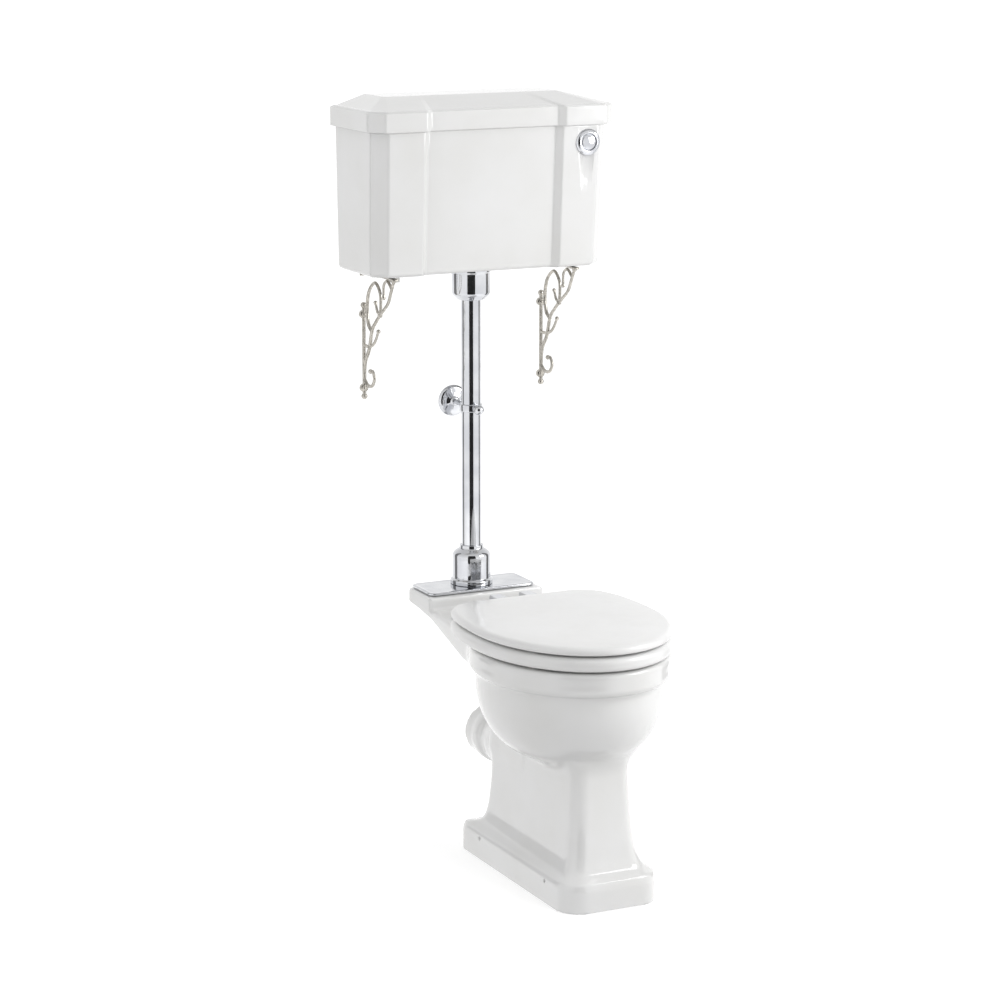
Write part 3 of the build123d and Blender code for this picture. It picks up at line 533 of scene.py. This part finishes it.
def chrome():
    """Polished chromium plate: a cool mirror with the faintest smear of handling and a soft wave."""
    made, tree, shader, place = material("chrome", (0.66, 0.67, 0.69), 0.05, 1.0)
    tint(
        tree, speckle(tree, place, 25, 3), shader.inputs["Base Color"],
        (0.70, 0.71, 0.73), (0.60, 0.61, 0.64),
    )
    vary(tree, speckle(tree, place, 90, 5), shader.inputs["Roughness"], 0.025, 0.11)
    relief(tree, shader, (speckle(tree, place, 45, 1), 0.02), (speckle(tree, place, 900, 2), 0.0008))
    return made


def rubber():
    """Black moulded rubber: dull, dusty grey on the high spots and finely pitted."""
    made, tree, shader, place = material("rubber", (0.03, 0.03, 0.032), 0.6)
    tint(
        tree, speckle(tree, place, 60, 4), shader.inputs["Base Color"],
        (0.022, 0.022, 0.024), (0.06, 0.058, 0.055),
    )
    vary(tree, speckle(tree, place, 150, 4), shader.inputs["Roughness"], 0.48, 0.75)
    relief(tree, shader, (speckle(tree, place, 1200, 3), 0.03))
    return made


def dress(finish, *nodes):
    """Gives CAD nodes whose shape is right their finished material."""
    for node in nodes:
        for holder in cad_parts[node].material_slots:
            holder.material = finish


def turned(name, profile, x, middle, upright=True, steps=6, count=96):
    """A lathe-turned part: a profile of (radius, place, corner radius) carried round its axis.

    The axis is vertical through (x, distance middle), or runs out from the wall at height middle.
    A profile that starts on the axis is closed there; any other is the outline of a ring.
    """
    ring = profile[0][0] > 0
    radius, place = rounded(profile, steps, closed=ring, fill=2).T
    if not ring:
        radius = np.maximum(radius, 0.4)
    turn = np.linspace(0, 2 * np.pi, count, endpoint=False)[None]
    across, up = radius[:, None] * np.cos(turn), radius[:, None] * np.sin(turn)
    along = np.broadcast_to(place[:, None], across.shape)
    sides = (x + across, middle + up, along) if upright else (x + across, along, middle + up)
    return skin(name, np.stack(sides, -1), tube=ring)


bright_chrome = chrome()
black_rubber = rubber()


def plate_ring(z, inset):
    """A level rectangle with its corners rounded to 14, drawn in by inset."""
    w, back, front = plate_half_w - inset, plate_back + inset, plate_front - inset
    r = 14 - inset
    return level(rounded([(w, back, r), (w, front, r), (-w, front, r), (-w, back, r)], fill=4), z)


plate_side = rounded([
    (13, plate_low + 3, 0), (3, plate_low + 3, 0.4), (2.6, plate_low, 0.5), (0.6, plate_low, 0.5),
    (0, plate_top - 1, 1.8), (4, plate_top + 0.0, 1.5), (8, plate_top - 0.5, 1), (13, plate_top - 0.5, 0),
], closed=False, fill=2)
plate = skin("shelf_cover_plate", [plate_ring(z, inset) for inset, z in plate_side])
finish_piece(plate, "root", bright_chrome, "chrome", "shelf_plate")
cap = turned("foot_cap", [
    (35, 482.6, 0.5), (41.5, 482.6, 0.8), (41.5, 491, 3), (37.5, 494.5, 1.5), (37.5, 544, 12), (24, 553, 5),
    (23, 560, 1), (pipe_fit, 560, 0.5), (pipe_fit, 551, 0.5), (35, 540, 4),
], 0, pipe_d)
finish_piece(cap, "root", bright_chrome, "chrome", "lower_cap")
dress(black_rubber, "shelf_gasket", "flush_cone")


# The flush pipe: 38 mm chromed brass tube. Half way up, a split band grips it on a short stem from a
# domed rose on the wall, and a ball nut pinches the band in front. At the top a bell coupling with a
# rounded shoulder covers the nut under the cistern.
clamp_z, clamp_h = 832.0, 15.0
rose = turned("wall_flange", [
    (0, 0, 0), (31, 0, 0.5), (31, 3, 2), (27, 6.5, 6), (17, 8.5, 8), (9, 11, 4), (7, 14.5, 1.5), (0, 15, 0),
], 0, clamp_z, upright=False)
finish_piece(rose, "root", bright_chrome, "chrome", "wall_rose")
band = turned("pipe_band", [
    (pipe_r, clamp_z - clamp_h / 2, 0.3), (22, clamp_z - clamp_h / 2, 2), (22, clamp_z + clamp_h / 2, 2),
    (pipe_r, clamp_z + clamp_h / 2, 0.3),
], 0, pipe_d)
finish_piece(band, "root", bright_chrome, "chrome", "pipe_clamp")
neck = turned("band_boss", [(0, 106, 0), (6, 106, 0.5), (6, 111, 1), (0, 111, 0)], 0, clamp_z, upright=False)
finish_piece(neck, "root", bright_chrome, "chrome")
ball_turn = np.linspace(-0.36 * np.pi, 0.5 * np.pi, 12)
ball = turned("ball_nut", [(0, 111, 0), (4.3, 111, 0)] + [
    (10 * math.cos(a), 120 + 10 * math.sin(a), 0) for a in ball_turn[:-1]
] + [(0, 130, 0)], 0, clamp_z, upright=False, steps=1)
finish_piece(ball, "root", bright_chrome, "chrome", "clamp_nut")
bell = turned("bell_cover", [
    (pipe_fit, 1043, 0.5), (27, 1044, 5), (37.5, 1055, 10), (37.5, 1096, 2), (39.5, 1099, 1.5),
    (39.5, 1107, 0.4),
    (35.5, 1107, 0.4), (35.5, 1062, 8), (27, 1052, 4), (pipe_fit, 1052, 0.5),
], 0, pipe_d)
finish_piece(bell, "root", bright_chrome, "chrome", "bell_coupling")
dress(bright_chrome, "flush_pipe", "clamp_stem")


# The push button on the right end panel: a threaded chrome bezel clamped through the wall, and in it
# a domed chrome button that slides in 8 mm.
button_face = tank_depth - tank_draw_d * (tank_high - button_z) / (tank_high - tank_low)
bezel = turned("button_collar", [
    (16.4, button_face - 26, 0.3), (16.4, button_face + 5.3, 0.5), (18.5, button_face + 5.5, 1),
    (22.5, button_face + 4.3, 3), (25.5, button_face + 1.4, 1.5), (25.5, button_face - 1.4, 0.2),
    (18, button_face - 1.4, 0.2), (18, button_face - 26, 0.3),
], button_x, button_z, upright=False)
finish_piece(bezel, "root", bright_chrome, "chrome", "button_bezel")
button = turned("button_cap", [
    (0, button_face + 7, 0), (8, button_face + 6.5, 14), (14.4, button_face + 4.9, 3),
    (16, button_face + 2.8, 1.5), (16, button_face - 14, 0.5), (0, button_face - 14, 0),
], button_x, button_z, upright=False)
finish_piece(button, "button", bright_chrome, "chrome", "push_button")


# The seat and lid: moulded wood under white lacquer, round in front and drawn in to a straight back.
# The ring is rounded over inside and out; the lid is a plain board with a soft edge and a slight
# crown. Both hang on the bar hinge and rest on small clear buffers.
seat_half_w, seat_mid, seat_front_l, seat_back, seat_back_half_w = 183.5, 490.0, 240.0, 296.0, 92.0
ring_low, ring_high, lid_low, lid_high = 459.0, 484.0, 489.0, 505.5
hole_half_w, hole_half_l, hole_mid = 108.0, 138.0, 522.0


def lacquer():
    """White lacquer sprayed on wood: a clear top coat over a very slight orange peel."""
    made, tree, shader, place = material("seat_lacquer", (0.80, 0.80, 0.80), 0.35)
    shader.inputs["Coat Weight"].default_value = 0.5
    shader.inputs["Coat Roughness"].default_value = 0.16
    tint(
        tree, speckle(tree, place, 9, 4), shader.inputs["Base Color"],
        (0.82, 0.82, 0.818), (0.79, 0.788, 0.78),
    )
    vary(tree, speckle(tree, place, 70, 4), shader.inputs["Roughness"], 0.3, 0.4)
    relief(tree, shader, (speckle(tree, place, 9, 1), 0.1))
    return made


def seat_plan(grow):
    """The seat's outline: half an ellipse in front, then each side a cubic curve in to the back edge.

    The cubic is (1-t)^3 A + 3(1-t)^2 t B + 3(1-t) t^2 C + t^3 D, upright at A and level at D.
    """
    w, front = seat_half_w + grow, seat_front_l + grow
    turn = np.linspace(0, np.pi, 97)[:, None]
    nose = np.hstack([w * np.cos(turn), seat_mid + front * np.sin(turn)])
    t = np.linspace(0, 1, 40)[1:, None]
    a, b = np.array((-w, seat_mid)), np.array((-w, seat_mid - 130))
    c, d = np.array((-seat_back_half_w - 75, seat_back)), np.array((-seat_back_half_w, seat_back))
    left = (1 - t) ** 3 * a + 3 * (1 - t) ** 2 * t * b + 3 * (1 - t) * t**2 * c + t**3 * d
    across = np.linspace(-seat_back_half_w, seat_back_half_w, 20)[1:-1]
    back = np.column_stack([across, np.full(18, seat_back)])
    return np.concatenate([nose, left, back, left[::-1] * (-1, 1)])


def drawn_in(path, inset):
    """A closed path moved inwards along its own normals, whichever way round it runs."""
    ahead, behind = np.roll(path, -1, 0), np.roll(path, 1, 0)
    run = ahead - behind
    run /= np.linalg.norm(run, axis=1)[:, None]
    around = np.sign(np.sum(path[:, 0] * ahead[:, 1] - path[:, 1] * ahead[:, 0]))
    return path + inset * around * np.column_stack([-run[:, 1], run[:, 0]])


white_lacquer = lacquer()
outline = seat_plan(0.0)
lid_side = rounded([
    (40, lid_low, 0), (0, lid_low, 5), (0, lid_high - 2.2, 10.5), (40, lid_high, 0),
], steps=9, closed=False, fill=3)
rings = [level(drawn_in(outline, inset), z) for inset, z in lid_side]
middle = np.array((0, 512, 0))
rings += [(rings[-1] - middle) * (share, share, 1) + middle for share in (0.75, 0.4, 0.12)]
lid = skin("lid_board", rings)
finish_piece(lid, "lid", white_lacquer, "seat_lacquer", "seat_lid")

outline = seat_plan(1.5)
bearing = np.arctan2(outline[:, 1] - hole_mid, outline[:, 0])
reach = 1 / np.hypot(np.cos(bearing) / hole_half_w, np.sin(bearing) / hole_half_l)
hole = np.column_stack([reach * np.cos(bearing), hole_mid + reach * np.sin(bearing)])
width = np.linalg.norm(outline - hole, axis=1)[:, None]
# inset from the outline, or from the hole where it is marked less than nothing
ring_side = rounded([
    (0, ring_low, 8), (0, ring_high, 12), (60, ring_high, 12), (60, ring_low, 6),
], steps=9, fill=4)
rings = []
for inset, z in ring_side:
    share = inset / width if inset < 30 else 1 - (60 - inset) / width
    rings.append(level(outline + (hole - outline) * share, z))
ring = skin("seat_board", rings, tube=True)
finish_piece(ring, "ring", white_lacquer, "seat_lacquer", "seat_ring")


def clear_buffer():
    """Milky soft plastic that lets a little light through, with a satin moulded skin."""
    made, tree, shader, place = material("clear_rubber", (0.80, 0.80, 0.78), 0.35)
    shader.inputs["Subsurface Weight"].default_value = 0.3
    shader.inputs["Subsurface Scale"].default_value = 0.003
    tint(
        tree, speckle(tree, place, 200, 3), shader.inputs["Base Color"],
        (0.82, 0.82, 0.80), (0.72, 0.72, 0.69),
    )
    vary(tree, speckle(tree, place, 300, 3), shader.inputs["Roughness"], 0.28, 0.45)
    relief(tree, shader, (speckle(tree, place, 900, 3), 0.02))
    return made


dress(clear_buffer(), "ring_buffers", "lid_buffers")
dress(bright_chrome, "hinge_bar", "hinge_posts", "ring_knuckles", "lid_knuckles")


# The brackets: scrollwork of round bar, cast in bronze and nickel plated. Each has a straight bar up
# the wall with a ball at each end and two screw collars, scrolls that spring from it, and a flat arm
# along the top where the cistern sits on rubber pads.
bracket_x, bar_d, bar_r, bar_low, bar_high = 191.0, 4.2, 3.6, 856.0, 1034.0
collars, arm_top, arm_h, arm_w, arm_l = (872.0, 1016.0), 1104.5, 6.0, 11.0, 160.0
scrolls = [  # thickness, then (distance from the wall, height) points from root to tip
    (7.6, (6, 886), (11, 922), (32, 952), (46, 990), (66, 1010), (92, 1030), (122, 1052), (137, 1076),
     (150, 1098)),
    (7.4, (45, 988), (29, 1000), (23, 1030), (33, 1064), (62, 1084), (85, 1068), (88, 1044), (84, 1024)),
    (7.2, (6, 890), (24, 880), (44, 882), (55, 896), (48, 910), (37, 909)),
    (6.4, (34, 956), (52, 964), (64, 975), (76, 992)),
    (6.0, (92, 1030), (74, 1028), (63, 1046)),
    (6.2, (140, 1082), (120, 1094), (103, 1084), (102, 1060)),
]


def nickel():
    """Nickel plate on a rough casting: warm grey, satin, darker in the hollows and softly pitted."""
    made, tree, shader, place = material("nickel", (0.56, 0.53, 0.48), 0.3, 1.0)
    tint(
        tree, speckle(tree, place, 120, 4), shader.inputs["Base Color"],
        (0.60, 0.57, 0.52), (0.42, 0.40, 0.36),
    )
    vary(tree, speckle(tree, place, 220, 4), shader.inputs["Roughness"], 0.18, 0.42)
    relief(tree, shader, (speckle(tree, place, 120, 2), 0.12), (speckle(tree, place, 500, 2), 0.01))
    return made


def smooth_line(points, steps=8):
    """A Catmull-Rom curve: between b and c, half of (2b + (c-a)t + (2a-5b+4c-d)t^2 + (3b-a-3c+d)t^3)."""
    p = np.array(points, float)
    p = np.vstack([2 * p[0] - p[1], p, 2 * p[-1] - p[-2]])
    a, b, c, d = (p[i:len(p) - 3 + i, None] for i in range(4))
    t = np.linspace(0, 1, steps, endpoint=False)[None, :, None]
    curve = (2 * b + (c - a) * t + (2 * a - 5 * b + 4 * c - d) * t**2 + (3 * b - a - 3 * c + d) * t**3) / 2
    return np.vstack([curve.reshape(-1, 2), p[-2]])


def scroll(x, thickness, points, sides=20):
    """Rings of a bar that lies in one upright plane: circles square to the curve, with a ball at its tip.

    The radius draws in by a quarter along the bar, and swells over the last points as
    sqrt(1 - (s / r)^2), the outline of a ball.
    """
    line = smooth_line(points)
    run = np.gradient(line, axis=0)
    run /= np.linalg.norm(run, axis=1)[:, None]
    length = np.concatenate([[0], np.cumsum(np.linalg.norm(np.diff(line, axis=0), axis=1))])
    radius = thickness / 2 * (1 - 0.22 * length / length[-1])
    ball = thickness * 0.66
    reach = np.clip((length[-1] - length) / ball, 0, 1)
    radius = np.maximum(radius, ball * np.sqrt(1 - reach**2) * (reach < 1))
    tip = np.sin(np.linspace(0.1, 0.5 * np.pi - 0.08, 6))[:, None]
    line = np.vstack([line, line[-1] + ball * tip * run[-1]])
    run = np.vstack([run, np.repeat(run[-1:], 6, 0)])
    radius = np.concatenate([radius, ball * np.sqrt(1 - tip[:, 0] ** 2)])
    turn = np.linspace(0, 2 * np.pi, sides, endpoint=False)
    across = radius[:, None] * np.cos(turn)
    out = line[:, :1] + radius[:, None] * np.sin(turn) * run[:, 1:]
    up = line[:, 1:] - radius[:, None] * np.sin(turn) * run[:, :1]
    return np.stack([x + across, out, up], -1)


def bar_with_balls(x):
    """The wall bar as one turned profile: a ball of 6 at each end, collars of 5.2 and the bar between."""
    z = np.linspace(bar_low - 6, bar_high + 6, 260)
    radius = np.full(len(z), bar_r)
    for middle, size in ((bar_low, 6.0), (bar_high, 6.0), (collars[0], 5.4), (collars[1], 5.4)):
        radius = np.maximum(radius, np.sqrt(np.maximum(size**2 - (z - middle) ** 2, 0)))
    radius[z < bar_low] = np.sqrt(np.maximum(36 - (z - bar_low) ** 2, 0.05))[z < bar_low]
    radius[z > bar_high] = np.sqrt(np.maximum(36 - (z - bar_high) ** 2, 0.05))[z > bar_high]
    turn = np.linspace(0, 2 * np.pi, 24, endpoint=False)
    out = np.maximum(bar_d + 1.8 + radius[:, None] * np.sin(turn), 0)
    return np.stack([x + radius[:, None] * np.cos(turn), out, np.broadcast_to(z[:, None], out.shape)], -1)


def flat_bar(x, corners, half_w):
    """A flat bar in an upright plane: its rounded side outline on both faces, each edge eased by 0.8."""
    outline = rounded(corners)
    inner = drawn_in(outline, 0.8)
    rows = [(inner, -half_w), (outline, 1 - half_w), (outline, half_w - 1), (inner, half_w)]
    return [np.column_stack([np.full(len(path), x + side), path]) for path, side in rows]


def merged(name, pieces):
    """Several closed shapes as one object."""
    with bpy.context.temp_override(active_object=pieces[0], selected_editable_objects=pieces):
        bpy.ops.object.join()
    pieces[0].name = name
    return pieces[0]


plated = nickel()
for side, place in ((-1, "left"), (1, "right")):
    x = side * bracket_x
    parts = [skin("bar", bar_with_balls(x))]
    for thickness, *points in scrolls:
        parts.append(skin("scroll", scroll(x, thickness, points)))
    for out, low in ((arm_l, arm_top - arm_h), (4, arm_top - 14)):
        high = arm_top - 0.01 * out
        flat = [(0, low, 0.9), (out, low, 1.8), (out, high, 1.8), (0, high, 0.9)]
        parts.append(skin("flat", flat_bar(x, flat, arm_w / 2)))
    parts.append(rod("tie", (x, 5, 956), (x, 36, 956), 3.2, 20))
    collar = [(0, 0, 0), (8, 0, 0.5), (8, 7.5, 1.5), (5.5, 9, 1), (0, 9, 0)]
    parts += [turned("collar", collar, x, z, upright=False, count=32) for z in collars]
    screw = [(0, 8, 0), (4.2, 8, 0), (3.4, 10.6, 2), (0, 11, 0)]
    parts += [turned("screw", screw, x, z, upright=False, count=24) for z in collars]
    finish_piece(merged(f"scroll_bracket_{place}", parts), "root", plated, "nickel", f"bracket_{place}")
dress(black_rubber, "bracket_pads")


# Inside the cistern and under the deck: the flush valve with its spring and stem, the rocker shaft
# that the button pushes, the filling valve with its float, and the bolts, washers and wing nuts.
# Moulded white plastic, a blown float, turned brass and spring steel, all standard fittings.
def white_plastic():
    """Injection-moulded acetal: off white, satin, with a fine spark-eroded grain."""
    made, tree, shader, place = material("white_plastic", (0.72, 0.72, 0.69), 0.4)
    tint(
        tree, speckle(tree, place, 30, 4), shader.inputs["Base Color"],
        (0.76, 0.76, 0.74), (0.68, 0.675, 0.64),
    )
    vary(tree, speckle(tree, place, 90, 4), shader.inputs["Roughness"], 0.32, 0.5)
    relief(tree, shader, (speckle(tree, place, 1500, 3), 0.02))
    return made


def float_plastic():
    """Blow-moulded polythene: soft orange, waxy, with shallow sink marks."""
    made, tree, shader, place = material("float_plastic", (0.65, 0.22, 0.06), 0.45)
    shader.inputs["Subsurface Weight"].default_value = 0.15
    shader.inputs["Subsurface Scale"].default_value = 0.004
    tint(
        tree, speckle(tree, place, 35, 4), shader.inputs["Base Color"],
        (0.68, 0.24, 0.07), (0.58, 0.18, 0.045),
    )
    vary(tree, speckle(tree, place, 80, 4), shader.inputs["Roughness"], 0.36, 0.55)
    relief(tree, shader, (speckle(tree, place, 30, 2), 0.3), (speckle(tree, place, 900, 2), 0.02))
    return made


def brass():
    """Turned brass left bare: yellow, dulled brown in patches, with fine lathe lines."""
    made, tree, shader, place = material("brass", (0.78, 0.60, 0.28), 0.3, 1.0)
    tint(
        tree, speckle(tree, place, 60, 5), shader.inputs["Base Color"],
        (0.80, 0.62, 0.30), (0.50, 0.34, 0.14),
    )
    vary(tree, speckle(tree, place, 110, 4), shader.inputs["Roughness"], 0.2, 0.42)
    relief(tree, shader, (speckle(tree, place, 60, 2, (1, 30, 30)), 0.03))
    return made


def spring_steel():
    """Drawn stainless wire: grey, half bright, streaked along its length."""
    made, tree, shader, place = material("spring_steel", (0.50, 0.50, 0.50), 0.3, 1.0)
    tint(
        tree, speckle(tree, place, 90, 4), shader.inputs["Base Color"],
        (0.56, 0.56, 0.55), (0.38, 0.37, 0.36),
    )
    vary(tree, speckle(tree, place, 160, 3), shader.inputs["Roughness"], 0.22, 0.4)
    relief(tree, shader, (speckle(tree, place, 300, 2, (1, 1, 8)), 0.02))
    return made


dress(
    white_plastic(), "flush_valve", "flush_backnut", "overflow_tube", "fill_valve", "fill_backnut",
    "float_arm",
    "fill_piston", "lift_stem", "crank_bearings", "wing_nuts", "button_nut",
)
dress(float_plastic(), "float_ball")
dress(brass(), "crank_shaft", "crank_finger", "lift_lever", "push_rod", "seat_bolts")
dress(spring_steel(), "valve_spring")
dress(black_rubber, "flush_washer", "valve_seal", "fill_washer", "bolt_washers")


# The studio: a pale floor without end under a soft sky that is brightest at the horizon, and three
# broad soft lights, from in front, from the right and from the left. Grey cards stand out of sight in
# front and at both sides for the chrome to mirror.
floor_size = 160.0
corners = np.array([(-1, -1, 0), (1, -1, 0), (1, 1, 0), (-1, 1, 0)]) * floor_size * 500
floor = put_mesh("floor", corners, [(0, 1, 2, 3)])
floor_paint, tree, shader, place = material("floor_paint", (0.92, 0.92, 0.92), 0.8)
shader.inputs["Emission Color"].default_value = (1, 1, 1, 1)
shader.inputs["Emission Strength"].default_value = 0.38
vary(tree, speckle(tree, place, 3, 4), shader.inputs["Roughness"], 0.75, 0.85)
floor.data.materials.append(floor_paint)
floor.visible_diffuse = False

world = bpy.data.worlds.new("studio")
world.use_nodes = True
sky = world.node_tree
towards = sky.nodes.new("ShaderNodeTexCoord").outputs["Generated"]
height = sky.nodes.new("ShaderNodeSeparateXYZ")
sky.links.new(towards, height.inputs["Vector"])
share = sky.nodes.new("ShaderNodeMapRange")
share.inputs["From Min"].default_value = -1
sky.links.new(height.outputs["Z"], share.inputs["Value"])
fade = sky.nodes.new("ShaderNodeValToRGB")
ramp = fade.color_ramp
ramp.elements[0].color = (0.4, 0.4, 0.4, 1)
ramp.elements[1].color = (0.58, 0.58, 0.58, 1)
ramp.elements.new(0.44).color = (0.75, 0.75, 0.75, 1)
ramp.elements.new(0.5).color = (1, 1, 1, 1)
sky.links.new(share.outputs["Result"], fade.inputs["Fac"])
sky.links.new(fade.outputs["Color"], sky.nodes["Background"].inputs["Color"])
sky.nodes["Background"].inputs["Strength"].default_value = 1.12
bpy.context.scene.world = world


def soft_light(name, place, aim, size, power, mirrored):
    """A square area light at one point, turned to face another, seen in mirrors or not."""
    light = bpy.data.lights.new(name, "AREA")
    light.size, light.energy = size, power
    lamp = bpy.data.objects.new(name, light)
    lamp.location = place
    away = np.array(place) - np.array(aim)
    tip = math.atan2(math.hypot(*away[:2]), away[2])
    lamp.rotation_euler = (tip, 0, math.atan2(away[1], away[0]) + math.pi / 2)
    lamp.visible_glossy = mirrored
    bpy.context.collection.objects.link(lamp)


soft_light("front", (0.9, -2.6, 1.35), (0, 0, 1.2), 1.0, 16, False)
soft_light("right", (1.2, -1.0, 1.4), (0, 0, 0.4), 0.8, 11, True)
soft_light("left", (-2.6, -0.9, 1.2), (0, 0, 0.6), 1.6, 9, False)


def dark_card(name, bearing, reach, half_w, high, shade):
    """An upright card facing the pipe, at a bearing from the front and a reach in metres; mirrors see it."""
    a = math.radians(bearing)
    foot = np.array((math.sin(a) * reach, pipe_d / 1000 + math.cos(a) * reach)) * 1000
    side = np.array((math.cos(a), -math.sin(a))) * half_w * 1000
    points = [(*(foot - side), 1), (*(foot + side), 1), (*(foot + side), high), (*(foot - side), high)]
    card = put_mesh(name, points, [(0, 1, 2, 3)])
    paint, tree, shader, place = material(name + "_paint", (shade, shade, shade), 0.9)
    vary(tree, speckle(tree, place, 4, 2), shader.inputs["Roughness"], 0.85, 0.95)
    card.data.materials.append(paint)
    card.visible_camera = card.visible_shadow = False


dark_card("card_front", -23, 2.2, 0.95, 2600, 0.012)
dark_card("card_left", -132, 1.6, 0.35, 2600, 0.3)
dark_card("card_right", 86, 1.6, 0.3, 2600, 0.25)
